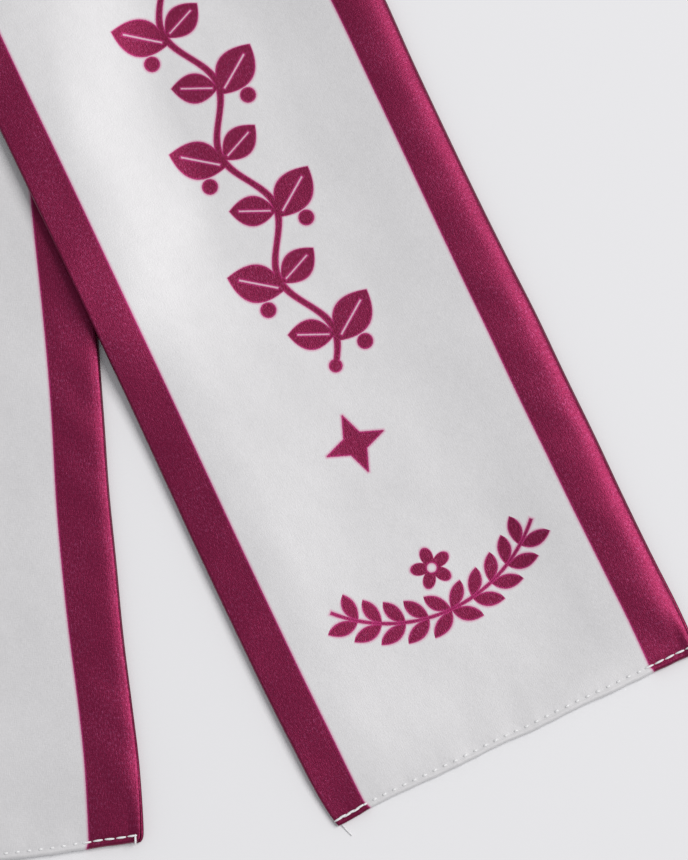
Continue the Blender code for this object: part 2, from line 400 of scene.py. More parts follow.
def neck_row(lower, upper, lift, width):
    """Row of the neck from its places at the lower and the upper edge."""
    return Row((lower + upper) / 2, (upper - lower) / width, lift)


def neck_rows(layout):
    """Rows of the neck, from just past the left fold to just past the right one."""
    width = 2 * layout.half
    skew = layout.slant * layout.half
    first = layout.past_bend
    last = layout.neck_length - layout.bend_reach / layout.crease_across
    guides = (
        (first - skew, first + skew, 0.0, 0),
        (NECK_RISE_LOWER, NECK_RISE_UPPER, 0.0, NECK_FLAT_ROWS),
        (layout.neck_length - NECK_RISE_LOWER, layout.neck_length - NECK_RISE_UPPER,
         layout.rise, NECK_RISE_ROWS),
        (last + skew, last - skew, layout.rise, NECK_FLAT_ROWS),
    )
    rows = [neck_row(*guides[0][:3], width)]
    for before, after in zip(guides, guides[1:]):
        for share in spread(0.0, 1.0, after[3]):
            lower = before[0] + (after[0] - before[0]) * share
            upper = before[1] + (after[1] - before[1]) * share
            lift = before[2] + (after[2] - before[2]) * smooth_step(share)
            rows.append(neck_row(lower, upper, lift, width))
    return rows + bend_rows(layout, layout.neck_length, -layout.slant)


# A column is a share of the way over a panel's open side, and how far it has gone round
# the panel's shaped edge.
Column = namedtuple("Column", "share turn")

WRAP_COLUMNS = 9
LIP_COLUMNS = 14
EDGE_COLUMNS = 20
EDGE_SHARE = 0.955
WRAP_END_COLUMNS = 5
WRAP_END_SHARE = 0.010


def face_columns(count):
    """Columns of a face panel, from the foot of its wrapped edge to its rolled edge."""
    wrapped = [Column(0.0, 1 - step / WRAP_COLUMNS) for step in range(WRAP_COLUMNS)]
    open_side = [0.0] + spread(0.0, WRAP_END_SHARE, WRAP_END_COLUMNS)
    open_side += spread(WRAP_END_SHARE, EDGE_SHARE, count)
    open_side += spread(EDGE_SHARE, 1.0, EDGE_COLUMNS)
    return wrapped + [Column(share, 0.0) for share in open_side]


def back_columns(count):
    """Columns of a back panel, from its plain edge to the inner end of its lip."""
    lip = [Column(1.0, (step + 1) / LIP_COLUMNS) for step in range(LIP_COLUMNS)]
    return [Column(step / count, 0.0) for step in range(count + 1)] + lip


# Form of the cloth

HeightAt = namedtuple("HeightAt", "place height")
WaverAt = namedtuple("WaverAt", "from_hem shift")
BulgeAt = namedtuple("BulgeAt", "place bulge")

# The face's height across, in millimetres: low in the open field, and raised near both
# edges by the seam allowances inside
FRONT_HEIGHTS = (
    HeightAt(-50.5, 2.24), HeightAt(-45.0, 2.30), HeightAt(-38.5, 2.36),
    HeightAt(-33.0, 2.24), HeightAt(-26.0, 1.87), HeightAt(-16.0, 1.46),
    HeightAt(-4.0, 1.24), HeightAt(7.0, 1.12), HeightAt(17.0, 1.18),
    HeightAt(25.0, 1.66), HeightAt(33.0, 2.40), HeightAt(39.0, 2.92),
    HeightAt(43.5, 3.20), HeightAt(46.4, 3.22), HeightAt(48.3, 3.02),
    HeightAt(49.6, 2.68), HeightAt(50.3, 2.34), HeightAt(50.7, 1.86), HeightAt(50.9, 1.40),
)
BACK_HEIGHTS = (
    HeightAt(-50.5, 2.14), HeightAt(-45.0, 2.20), HeightAt(-38.0, 2.25),
    HeightAt(-26.0, 1.92), HeightAt(-12.0, 1.74), HeightAt(4.0, 1.70),
    HeightAt(22.0, 1.86), HeightAt(34.0, 2.08), HeightAt(42.0, 2.15), HeightAt(46.4, 2.15),
    HeightAt(48.4, 2.09), HeightAt(49.5, 1.96), HeightAt(50.2, 1.83), HeightAt(50.65, 1.64),
    HeightAt(50.85, 1.40), HeightAt(50.92, 1.1),
)

# Sideways waver of each long edge, in millimetres, towards the right as the tails lie
FRONT_RIGHT_WAVER = (
    WaverAt(0, 0.50), WaverAt(13, 0.78), WaverAt(26, 0.50), WaverAt(44, 0.42),
    WaverAt(60, 0.62), WaverAt(78, 0.52), WaverAt(94, 0.62), WaverAt(112, 0.24),
    WaverAt(130, 0.06), WaverAt(150, 0.12), WaverAt(168, 0.32), WaverAt(185, 0.80),
    WaverAt(225, 0.55), WaverAt(270, -0.30), WaverAt(330, 0.30), WaverAt(400, -0.35),
    WaverAt(480, 0.30), WaverAt(560, -0.20), WaverAt(620, 0.0),
)
FRONT_LEFT_WAVER = (
    WaverAt(0, 0.06), WaverAt(10, 0.26), WaverAt(20, 0.26), WaverAt(30, 0.0),
    WaverAt(42, -0.24), WaverAt(74, -0.44), WaverAt(95, -0.36), WaverAt(120, -0.24),
    WaverAt(136, -0.26), WaverAt(170, -0.32), WaverAt(190, -0.50), WaverAt(207, -0.66),
    WaverAt(240, -0.50), WaverAt(290, 0.25), WaverAt(370, -0.25),
    WaverAt(450, 0.30), WaverAt(540, -0.20), WaverAt(620, 0.0),
)
BACK_RIGHT_WAVER = (
    WaverAt(0, 0.34), WaverAt(10, 0.72), WaverAt(21, 0.84), WaverAt(32, 0.48),
    WaverAt(52, -0.22), WaverAt(70, -0.30), WaverAt(88, -0.48), WaverAt(105, -0.12),
    WaverAt(120, 0.12), WaverAt(150, 0.62), WaverAt(190, 0.15), WaverAt(235, -0.45),
    WaverAt(300, 0.40), WaverAt(380, -0.35), WaverAt(470, 0.30), WaverAt(560, -0.20),
    WaverAt(620, 0.0),
)
BACK_LEFT_WAVER = (
    WaverAt(0, 0.0), WaverAt(40, -0.35), WaverAt(100, 0.30), WaverAt(165, -0.30),
    WaverAt(240, 0.35), WaverAt(330, -0.30), WaverAt(440, 0.25), WaverAt(560, -0.20),
    WaverAt(620, 0.0),
)

# How far the hem's edge bulges down the strip, in millimetres
FRONT_HEM_EDGE = (
    BulgeAt(-51.0, 0.80), BulgeAt(-46.0, 0.62), BulgeAt(-40.0, 0.20), BulgeAt(-33.0, 0.0),
    BulgeAt(30.0, 0.0), BulgeAt(44.0, 0.10), BulgeAt(51.0, 0.0),
)
BACK_HEM_EDGE = (
    BulgeAt(-51.0, 0.0), BulgeAt(-30.0, 0.75), BulgeAt(-5.0, 1.35), BulgeAt(15.0, 1.30),
    BulgeAt(28.0, 1.00), BulgeAt(38.0, 0.45), BulgeAt(46.0, 0.15), BulgeAt(51.0, 0.0),
)

# Distance from a hem that a stretch without one takes
FAR_FROM_HEM = 1.0

# Both tails are flatter where they reach the folds
FOLD_FLATNESS = 0.9
FOLD_FLAT_FROM = 300 * MM
FOLD_FLAT_RUN = 200 * MM

# The face's left edge wraps round: a round top, then a side down to its foot
WRAP_INSET = 0.5 * MM
WRAP_ROUND = 0.6
WRAP_SIDE_HEIGHT = 1.0 * MM
WRAP_FOOT_HEIGHT = 0.25 * MM
WRAP_FOOT_INSET = 0.12 * MM

# The back panel's lip rolls out past the seam and back to it, where it sinks
BACK_PLAIN_INSET = 1.5 * MM
LIP_REACH = 0.5 * MM
LIP_ROUND = 0.75
LIP_HEIGHT = 1.02 * MM
LIP_HEM_RISE = 0.38 * MM
LIP_HEM_FADE = 25 * MM
LIP_SINK = 0.4 * MM
LIP_SINK_POWER = 1.5

# The turned hem: a round edge, and a level fold that runs out into the open field
HEM_ROUND = 0.75 * MM
HEM_EDGE_HEIGHT = 1.05 * MM
HEM_FULL_HEIGHT = 1.95 * MM
HEM_FULL_REACH = 16 * MM
HEM_SEAM_RUN = 4 * MM
HEM_RIGHT_RISE = 0.40 * MM
HEM_RIGHT_RUN = 38 * MM
HEM_LEFT_DROP = 0.35 * MM
HEM_LEFT_FROM = 37 * MM
HEM_LEFT_RUN = 16 * MM
BACK_HEM_RISE = 0.85 * MM
EDGE_RISE_FROM = 10 * MM
EDGE_RISE_FADE = 45 * MM

# The sewn line pulls the cloth down, deeper at each hole, and puckers it above
SEWN_DEPTH = 0.17 * MM
SEWN_WIDTH = 0.6 * MM
SEWN_HOLES = 0.25
HEM_PUCKER = 0.13 * MM
HEM_PUCKER_SIZE = 6.5 * MM
HEM_PUCKER_LENGTHEN = 0.3
HEM_PUCKER_START = 3 * MM
HEM_PUCKER_FADE = 9 * MM

# How the hem's corners are drawn in and its edge shifts and bulges
PULL_REACH = 7.3 * MM
ROUND_PULL = 0.9 * MM
ROUND_REACH = 0.8 * MM
PULL_FALLOFF = 6
HEM_SHIFT_REACH = 2.4 * MM
HEM_EDGE_REACH = 9 * MM
HEM_BULGE = 0.16 * MM
HEM_BULGE_FADE = 3 * MM
HEM_BULGE_SIZE = 11 * MM
HEM_SMALL_BULGE = 0.5
HEM_SMALL_BULGE_SIZE = 4 * MM

# Slanting tucks beside an edge, and the cloth's soft unevenness
Tucks = namedtuple("Tucks", "height length slant drift reach fade")
Uneven = namedtuple("Uneven", "height size slant")

RIGHT_TUCKS = Tucks(0.10 * MM, 18 * MM, 0.9, 2.6, 14 * MM, 9 * MM)
LEFT_TUCKS = Tucks(0.06 * MM, 26 * MM, -0.7, 2.4, 15 * MM, 8 * MM)
TUCK_STEADY = 0.6
DRIFT_SIZE = 46 * MM
FIELD = Uneven(0.12 * MM, 30 * MM, 0.5)
FINE = Uneven(0.035 * MM, 9 * MM, 0.6)

# Form of a stretch: its noise seed, heights across, edges, seam groove and hem
Groove = namedtuple("Groove", "far at_hem fade")
HemLine = namedtuple("HemLine", "left right")
Form = namedtuple("Form", "seed heights left_waver right_waver groove hem_line hem_outline "
                          "hem_shift edge_rise")

FRONT_FORM = Form(
    seed=3.7, heights=FRONT_HEIGHTS, left_waver=FRONT_LEFT_WAVER,
    right_waver=FRONT_RIGHT_WAVER, groove=Groove(0.22 * MM, 0.72 * MM, 24 * MM),
    hem_line=HemLine(1.40 * MM, 2.00 * MM), hem_outline=FRONT_HEM_EDGE,
    hem_shift=0.8 * MM, edge_rise=0.0)
NECK_FORM = FRONT_FORM._replace(
    seed=11.2, heights=BACK_HEIGHTS, groove=Groove(0.22 * MM, 0.0, 24 * MM), hem_shift=0.0)
BACK_FORM = Form(
    seed=27.9, heights=BACK_HEIGHTS, left_waver=BACK_LEFT_WAVER,
    right_waver=BACK_RIGHT_WAVER, groove=Groove(0.10 * MM, 0.70 * MM, 15 * MM),
    hem_line=HemLine(1.05 * MM, 1.80 * MM), hem_outline=BACK_HEM_EDGE,
    hem_shift=-0.6 * MM, edge_rise=0.9 * MM)


def smooth_table(table, value):
    """Height or shift at a place between the rows of a table, on a smooth curve."""
    if value <= table[0][0]:
        return table[0][1]
    if value >= table[-1][0]:
        return table[-1][1]
    last = len(table) - 1
    index = max(i for i in range(last) if table[i][0] <= value)
    before, here = table[max(index - 1, 0)], table[index]
    after, next_after = table[index + 1], table[min(index + 2, last)]
    span = after[0] - here[0]
    share = (value - here[0]) / span
    slope_here = (after[1] - before[1]) / (after[0] - before[0]) * span
    slope_after = (next_after[1] - here[1]) / (next_after[0] - here[0]) * span
    square, cube = share ** 2, share ** 3
    return (here[1] * (2 * cube - 3 * square + 1) + slope_here * (cube - 2 * square + share)
            + after[1] * (3 * square - 2 * cube) + slope_after * (cube - square))


class Tail:
    """Shape of one stretch across and along, before it is laid."""

    def __init__(self, layout, form):
        self.half = layout.half
        self.form = form

    def groove(self, from_hem):
        """Inset of the seam at the rolled edge, which is widest at the hem."""
        groove = self.form.groove
        return groove.far + groove.at_hem * math.exp(-from_hem / groove.fade)

    def hem_line(self, place):
        """Distance of the topstitching from the hem's edge."""
        line = self.form.hem_line
        share = (place / self.half + 1) / 2
        return line.left + (line.right - line.left) * share

    def ripple(self, from_hem, place, size, channel):
        """Soft unevenness of about the size given; each channel is a pattern of its own."""
        spot = Vector((place / size, from_hem / size, self.form.seed + channel))
        return 2 * noise.noise(spot)

    def tucks(self, kind, drift, from_hem, place, side):
        """Tucks beside the edge on one side."""
        near = smooth_step((side * place - self.half + kind.reach) / kind.fade)
        turn = 2 * math.pi * (from_hem + kind.slant * place) / kind.length
        return kind.height * near * math.sin(turn + kind.drift * drift)

    def uneven(self, kind, channel, from_hem, place):
        """Unevenness that slants over the face."""
        slanted = from_hem + kind.slant * place
        return kind.height * self.ripple(slanted, place, kind.size, channel)

    def creases(self, from_hem, place):
        """Main creases and waves of the face."""
        drift = self.ripple(from_hem, 0.0, DRIFT_SIZE, 1)
        right = self.tucks(RIGHT_TUCKS, drift, from_hem, place, 1)
        right *= TUCK_STEADY + (1 - TUCK_STEADY) * drift
        left = self.tucks(LEFT_TUCKS, drift, from_hem, place, -1)
        field = self.uneven(FIELD, 2, from_hem, place)
        return right + left + field + self.uneven(FINE, 3, from_hem, place)

    def hem_form(self, from_hem, place):
        """Sewn line and the small puckers above it."""
        off_line = (from_hem - self.hem_line(place)) / SEWN_WIDTH
        holes = 1 - SEWN_HOLES * (1 - math.cos(2 * math.pi * place / PITCH))
        trough = -SEWN_DEPTH * holes * math.exp(-off_line ** 2)
        fade = smooth_step(from_hem / HEM_PUCKER_START) * math.exp(-from_hem / HEM_PUCKER_FADE)
        uneven = self.ripple(from_hem * HEM_PUCKER_LENGTHEN, place, HEM_PUCKER_SIZE, 4)
        return trough + HEM_PUCKER * fade * uneven

    @staticmethod
    def hem_round(from_hem):
        """How far the hem's round edge has come up, from 0 to 1."""
        if from_hem >= HEM_ROUND:
            return 1.0
        return math.sqrt(max(0.0, 1 - (1 - from_hem / HEM_ROUND) ** 2))

    def face_height(self, from_hem, place):
        """Height of the face above the strip's underside."""
        height = smooth_table(self.form.heights, place / MM) * MM
        if from_hem is None:
            return height
        flatter = smooth_table(BACK_HEIGHTS, place / MM) * MM * FOLD_FLATNESS
        height += (flatter - height) * smooth_step((from_hem - FOLD_FLAT_FROM) / FOLD_FLAT_RUN)
        outer = smooth_step((place - EDGE_RISE_FROM) / (self.half - EDGE_RISE_FROM))
        height += self.form.edge_rise * outer * math.exp(-from_hem / EDGE_RISE_FADE)
        full = 1 - smooth_step(from_hem / HEM_FULL_REACH)
        inner = smooth_step((self.half - place) / HEM_SEAM_RUN)
        level = HEM_FULL_HEIGHT + HEM_RIGHT_RISE * smooth_step(place / HEM_RIGHT_RUN)
        level -= HEM_LEFT_DROP * smooth_step(-(place + HEM_LEFT_FROM) / HEM_LEFT_RUN)
        height += (level - height) * full * inner
        height += self.creases(from_hem, place) + self.hem_form(from_hem, place)
        return HEM_EDGE_HEIGHT + (height - HEM_EDGE_HEIGHT) * self.hem_round(from_hem)

    def face_point(self, from_hem, column):
        """Place and height of a column of the face."""
        groove = self.groove(FAR_FROM_HEM if from_hem is None else from_hem)
        first = -self.half + WRAP_INSET
        place = first + column.share * (self.half - groove - first)
        height = self.face_height(from_hem, place)
        if column.turn == 0:
            return place, height
        if column.turn <= WRAP_ROUND:
            angle = column.turn / WRAP_ROUND * math.pi / 2
            place = -self.half + WRAP_INSET * (1 - math.sin(angle))
            height = WRAP_SIDE_HEIGHT + (height - WRAP_SIDE_HEIGHT) * math.cos(angle)
            return place, height
        share = (column.turn - WRAP_ROUND) / (1 - WRAP_ROUND)
        foot = WRAP_SIDE_HEIGHT + (WRAP_FOOT_HEIGHT - WRAP_SIDE_HEIGHT) * share
        return -self.half + WRAP_FOOT_INSET * share ** 2, foot

    def back_point(self, from_hem, column):
        """Place and height of a column of the back, with its lip past the seam."""
        near = FAR_FROM_HEM if from_hem is None else from_hem
        groove = self.groove(near)
        first = -self.half + BACK_PLAIN_INSET
        last = self.half - LIP_REACH
        place = first + column.share * (last - first)
        if column.turn == 0:
            return place, BACK_HEM_RISE * (1 - self.hem_round(near))
        lip_top = LIP_HEIGHT + LIP_HEM_RISE * math.exp(-near / LIP_HEM_FADE)
        if column.turn <= LIP_ROUND:
            angle = (column.turn / LIP_ROUND - 0.5) * math.pi
            return (last + LIP_REACH * math.cos(angle),
                    lip_top / 2 * (1 + math.sin(angle)))
        share = (column.turn - LIP_ROUND) / (1 - LIP_ROUND)
        return last - share * groove, lip_top - LIP_SINK * share ** LIP_SINK_POWER

    def drawn(self, from_hem, place):
        """Place after the edges' waver and the drawing in of the hem's corners."""
        if from_hem is None:
            return place
        share = place / self.half
        table = self.form.right_waver if share > 0 else self.form.left_waver
        shift = smooth_table(table, from_hem / MM) * MM * share ** 2
        if share > 0:
            pull = ROUND_PULL * math.exp(-from_hem / ROUND_REACH)
        else:
            pull = CORNER_PULL * math.exp(-from_hem / PULL_REACH)
        pull *= abs(share) ** PULL_FALLOFF
        inner = 1 - share ** PULL_FALLOFF
        shift += self.form.hem_shift * inner * smooth_step(1 - from_hem / HEM_SHIFT_REACH)
        return place + shift - math.copysign(pull, share)

    def hem_edge(self, from_hem, place):
        """Small unevenness of the hem's edge, along the strip."""
        if from_hem is None:
            return 0.0
        bulge = self.ripple(0.0, place, HEM_BULGE_SIZE, 5)
        bulge += HEM_SMALL_BULGE * self.ripple(0.0, place, HEM_SMALL_BULGE_SIZE, 6)
        outline = smooth_table(self.form.hem_outline, place / MM) * MM
        small = HEM_BULGE * bulge * math.exp(-from_hem / HEM_BULGE_FADE)
        return small - outline * math.exp(-from_hem / HEM_EDGE_REACH)


# A stretch of the sash: how it is laid, its rows, how a place along it is counted from the
# hem, which side rolls, and where it starts on the flat strip
Stretch = namedtuple("Stretch", "tail lay rows from_hem side start")


def front_stretch(layout, step):
    """The front tail."""
    return Stretch(Tail(layout, FRONT_FORM), layout.lay_front, front_rows(layout, step),
                   lambda along: along, 1, 0.0)


def neck_stretch(layout):
    """The stretch between the two folds."""
    start = layout.front_reach + layout.arm
    return Stretch(Tail(layout, NECK_FORM), layout.lay_neck, neck_rows(layout),
                   lambda along: None, 1, start)


def back_stretch(layout, step):
    """The back tail."""
    tail_end = layout.arm + layout.back_reach
    start = layout.front_reach + layout.arm + layout.neck_length
    return Stretch(Tail(layout, BACK_FORM), layout.lay_back, back_rows(layout, step),
                   lambda along: tail_end - along, -1, start)


def settle(stretch, row, along, place, height):
    """A point of the frame from a place on a stretch, with the stretch's own waver."""
    from_hem = stretch.from_hem(along)
    across = stretch.tail.drawn(from_hem, place) * stretch.side
    uneven = stretch.tail.hem_edge(from_hem, place)
    if stretch.side < 0:
        uneven = -uneven
    return stretch.lay(row, along + uneven, across, height)


def cloth_grid(name, rows, columns, point):
    """A grid with a corner for each row and column, placed by point(row, column)."""
    mesh = bmesh.new()
    bmesh.ops.create_grid(mesh, x_segments=len(columns) - 1, y_segments=len(rows) - 1,
                          size=1.0)
    uv_layer = mesh.loops.layers.uv.new("Cut")
    flat = {}
    for vert in mesh.verts:
        column = round((vert.co.x + 1) / 2 * (len(columns) - 1))
        row = round((vert.co.y + 1) / 2 * (len(rows) - 1))
        vert.co, flat[vert.index] = point(rows[row], columns[column])
    for face in mesh.faces:
        face.smooth = True
        for loop in face.loops:
            loop[uv_layer].uv = flat[loop.vert.index]
    data = bpy.data.meshes.new(name)
    return mesh, data


def make_panel(name, stretch, column_count, on_face, cloth, material):
    """Model one panel of a stretch as a thin shell of cloth."""
    tail = stretch.tail
    shape = tail.face_point if on_face else tail.back_point
    columns = face_columns(column_count) if on_face else back_columns(column_count)

    def point(row, column):
        """Where a corner of the grid lies, and where it is on the flat cut."""
        place = (2 * column.share - 1) * tail.half
        along = row.along + row.slant * place * stretch.side
        place, height = shape(stretch.from_hem(along), column)
        along = row.along + row.slant * place * stretch.side
        laid = settle(stretch, row, along, place, height)
        return laid, (place, stretch.start + along)

    mesh, data = cloth_grid(name, stretch.rows, columns, point)
    outward = 1 if on_face else -1
    if outward * stretch.side < 0:
        bmesh.ops.reverse_faces(mesh, faces=mesh.faces)
    mesh.to_mesh(data)
    mesh.free()
    data.materials.append(material)
    panel = new_object(name, data)
    select_only(panel)
    wall = panel.modifiers.new("Cloth", "SOLIDIFY")
    wall.thickness = cloth
    wall.offset = -1.0
    wall.use_even_offset = False
    bpy.ops.object.modifier_apply(modifier=wall.name)
    return panel


def deselect_all():
    """Leave nothing selected, in object mode."""
    if bpy.context.object and bpy.context.object.mode != "OBJECT":
        bpy.ops.object.mode_set(mode="OBJECT")
    bpy.ops.object.select_all(action="DESELECT")


def select_only(target):
    """Select one object and make it the active one."""
    deselect_all()
    target.select_set(True)
    bpy.context.view_layer.objects.active = target


def new_object(name, data):
    """An object for a mesh, curve, lamp or camera, put into the scene."""
    made = bpy.data.objects.new(name, data)
    bpy.context.scene.collection.objects.link(made)
    return made


def stand_for(panel, node):
    """Check that a panel lies in its solid's place, attach it to the body and hide the solid.
    """
    low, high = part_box(node)
    for corner in panel.bound_box:
        for axis in range(3):
            if not low[axis] - NODE_MARGIN <= corner[axis] <= high[axis] + NODE_MARGIN:
                raise RuntimeError(f"{panel.name} leaves the place of {node}")
    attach(panel, BODY)
    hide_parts(node)


# Materials

Grain = namedtuple("Grain", "stretch scale detail roughness")
Span = namedtuple("Span", "low high low_result high_result", defaults=(0.0, 1.0))


class Graph:
    """Adds nodes to a material; each method returns the socket that it makes."""

    def __init__(self, name):
        self.material = bpy.data.materials.new(name)
        self.material.use_nodes = True
        self.nodes = self.material.node_tree.nodes
        self.links = self.material.node_tree.links
        self.shader = self.nodes["Principled BSDF"]

    def plug(self, socket, value):
        """Link a socket to another, or set its value."""
        if isinstance(value, bpy.types.NodeSocket):
            self.links.new(value, socket)
        else:
            socket.default_value = value

    def node(self, kind, **values):
        """A node of a kind, with some of its sockets plugged or set by their names."""
        node = self.nodes.new(kind)
        for name, value in values.items():
            self.plug(node.inputs[name.replace("_", " ")], value)
        return node

    def maths(self, operation, *values):
        """A Math node."""
        node = self.nodes.new("ShaderNodeMath")
        node.operation = operation
        for socket, value in zip(node.inputs, values):
            self.plug(socket, value)
        return node.outputs[0]

    def add(self, first, second):
        """The sum of two values."""
        return self.maths("ADD", first, second)

    def minus(self, first, second):
        """The first value less the second."""
        return self.maths("SUBTRACT", first, second)

    def times(self, first, second):
        """The product of two values."""
        return self.maths("MULTIPLY", first, second)

    def least(self, first, second):
        """The smaller of two values."""
        return self.maths("MINIMUM", first, second)

    def most(self, first, second):
        """The larger of two values."""
        return self.maths("MAXIMUM", first, second)

    def size_of(self, value):
        """A value without its sign."""
        return self.maths("ABSOLUTE", value)

    def cut_places(self):
        """Places on the flat cut in millimetres: across the strip and along it."""
        coordinates = self.node("ShaderNodeUVMap")
        coordinates.uv_map = "Cut"
        scaled = self.node("ShaderNodeVectorMath", Vector=coordinates.outputs[0])
        scaled.operation = "SCALE"
        scaled.inputs["Scale"].default_value = 1 / MM
        parts = self.node("ShaderNodeSeparateXYZ", Vector=scaled.outputs[0])
        return scaled.outputs[0], parts.outputs[0], parts.outputs[1]

    def noise(self, vector, grain):
        """Noise on a vector that is stretched first."""
        mapping = self.node("ShaderNodeMapping", Scale=grain.stretch, Vector=vector)
        node = self.node("ShaderNodeTexNoise", Scale=grain.scale, Detail=grain.detail,
                         Roughness=grain.roughness, Vector=mapping.outputs[0])
        return node.outputs["Fac"]

    def ramp(self, factor, stops):
        """A colour ramp from (position, colour) stops."""
        node = self.node("ShaderNodeValToRGB", Fac=factor)
        elements = node.color_ramp.elements
        while len(elements) < len(stops):
            elements.new(0.5)
        for element, (position, colour) in zip(elements, stops):
            element.position = position
            element.color = (*colour, 1.0)
        return node.outputs[0]

    def span(self, value, limits):
        """Map a value between two limits."""
        node = self.node("ShaderNodeMapRange", Value=value,
                         From_Min=limits.low, From_Max=limits.high,
                         To_Min=limits.low_result, To_Max=limits.high_result)
        return node.outputs[0]

    def length_of(self, first, second):
        """Length of a step that goes so far each way."""
        squares = self.add(self.times(first, first), self.times(second, second))
        return self.maths("SQRT", squares)

    def mix(self, factor, first, second, blend="MIX"):
        """A mix of two colours, by the Mix node's own colour sockets."""
        node = self.nodes.new("ShaderNodeMix")
        node.data_type = "RGBA"
        node.blend_type = blend
        self.plug(node.inputs["Factor"], factor)
        self.plug(node.inputs[6], self.colour(first))
        self.plug(node.inputs[7], self.colour(second))
        return node.outputs[2]

    @staticmethod
    def colour(value):
        """A colour as a socket takes it."""
        return value if isinstance(value, bpy.types.NodeSocket) else (*value, 1.0)

    def bump(self, height, strength, distance):
        """A Bump node."""
        node = self.node("ShaderNodeBump", Distance=distance, Strength=strength,
                         Height=height)
        return node.outputs[0]

    def finish(self, colour, roughness, metallic, normal):
        """Plug the surface."""
        surface = {"Base Color": colour, "Roughness": roughness, "Metallic": metallic,
                   "Normal": normal}
        for name, value in surface.items():
            self.plug(self.shader.inputs[name], value)
        return self.material


# Slow waver of the right band's inner edge, in millimetres; its crest is a place on the strip
Sway = namedtuple("Sway", "size period crest")

FRONT_SWAY = Sway(0.38, 170.0, 72.5)
BACK_SWAY = Sway(0.36, 88.0, 1756.0)
SWAY_FADE_IN = (10.0, 45.0)


def band_edge(g, across, along, bands, half, sway):
    """How far a place is from the nearer edge band; below 0 on the band."""
    from_left = g.minus(across, -half + bands[0])
    turn = g.times(g.minus(along, sway.crest), 2 * math.pi / sway.period)
    size = g.span(along, Span(*SWAY_FADE_IN, 0.0, sway.size))
    wider = g.times(g.maths("COSINE", turn), size)
    from_right = g.minus(g.minus(half - bands[1], across), wider)
    return g.least(from_left, from_right)


# The motifs' sizes are in millimetres
STAR_WAIST = 0.276
STAR_BLUNT = 0.35


def star_edge(g, across, along, reach):
    """Distance from a four-pointed star with pinched sides."""
    waist = STAR_WAIST * reach
    tall = g.most(g.size_of(across), g.size_of(along))
    short = g.least(g.size_of(across), g.size_of(along))
    norm = math.hypot(waist, reach - waist)
    line = g.add(g.times(tall, waist / norm), g.times(short, (reach - waist) / norm))
    side = g.minus(line, reach * waist / norm)
    blunt = g.minus(tall, reach - STAR_BLUNT)
    return g.most(side, blunt)


Leaf = namedtuple("Leaf", "out up angle length half_width vein")

# Where along a leaf its vein has its middle, and how far it runs from there
VEIN_MIDDLE = 0.46
VEIN_RUN = 0.34


def leaf_edge(g, x, y, leaf):
    """Distance from a leaf that points at an angle from +x, widest half way along."""
    x = g.minus(x, leaf.out)
    y = g.minus(y, leaf.up)
    cos, sin = math.cos(leaf.angle), math.sin(leaf.angle)
    out = g.add(g.times(x, cos), g.times(y, sin))
    side = g.minus(g.times(y, cos), g.times(x, sin))
    share = g.times(out, 1 / leaf.length)
    room = g.times(g.times(share, g.minus(1.0, share)), 4 * leaf.half_width)
    blade = g.minus(g.size_of(side), room)
    if not leaf.vein:
        return blade
    from_middle = g.size_of(g.minus(out, VEIN_MIDDLE * leaf.length))
    vein_end = g.minus(from_middle, VEIN_RUN * leaf.length)
    vein = g.most(g.minus(g.size_of(side), leaf.vein), vein_end)
    return g.most(blade, g.times(vein, -1.0))


VINE_CELL = 17.5
VINE_SWAY = 3.6
VINE_STEM = 0.9
VINE_BUD = 1.7
VINE_LEAF = Leaf(VINE_SWAY - 0.4, -3.2, math.radians(36), 15.0, 4.9, 0.28)
VINE_SMALL_LEAF = Leaf(0.3 - VINE_SWAY, -1.4, math.radians(24), 12.0, 3.9, 0.24)
BERRY_OUT = 9.4
BERRY_UP = -6.2
BERRY_RADIUS = 2.0


def vine_edge(g, across, along, start, end):
    """Distance from a vine with one large and one small leaf and a berry in each cell."""
    up = g.minus(along, start)
    turns = g.times(up, 1 / VINE_CELL)
    cell = g.maths("FLOOR", turns)
    inside = g.times(g.minus(g.minus(turns, cell), 0.5), VINE_CELL)
    parity = g.maths("MODULO", cell, 2.0)
    side = g.minus(1.0, g.times(parity, 2.0))
    out = g.times(across, side)
    sway = g.times(g.maths("SINE", g.times(turns, math.pi)), VINE_SWAY)
    stem = g.minus(g.size_of(g.minus(across, sway)), VINE_STEM)
    leaf = leaf_edge(g, out, inside, VINE_LEAF)
    small = leaf_edge(g, g.times(out, -1.0), inside, VINE_SMALL_LEAF)
    berry = g.minus(g.length_of(g.minus(out, BERRY_OUT), g.minus(inside, BERRY_UP)),
                    BERRY_RADIUS)
    plant = g.least(g.least(stem, berry), g.least(leaf, small))
    ends = g.most(g.minus(start, along), g.minus(along, end))
    plant = g.most(plant, ends)
    from_end = g.least(g.size_of(g.minus(along, start)), g.size_of(g.minus(along, end)))
    return g.least(plant, g.minus(g.length_of(across, from_end), VINE_BUD))


GARLAND_RADIUS = 38.0
GARLAND_STEP = math.radians(9.0)
GARLAND_LEAVES = 5
GARLAND_LEAF = Leaf(0.0, 0.0, math.radians(40), 8.0, 1.75, 0.0)
GARLAND_LEAF_INSET = 0.2
GARLAND_STEM = 0.42
GARLAND_STEM_PAST = 0.2

# How sharply the spray ends past its last leaf and its stem's end
GARLAND_LEAF_CUT = 10.0
GARLAND_STEM_CUT = 6.0


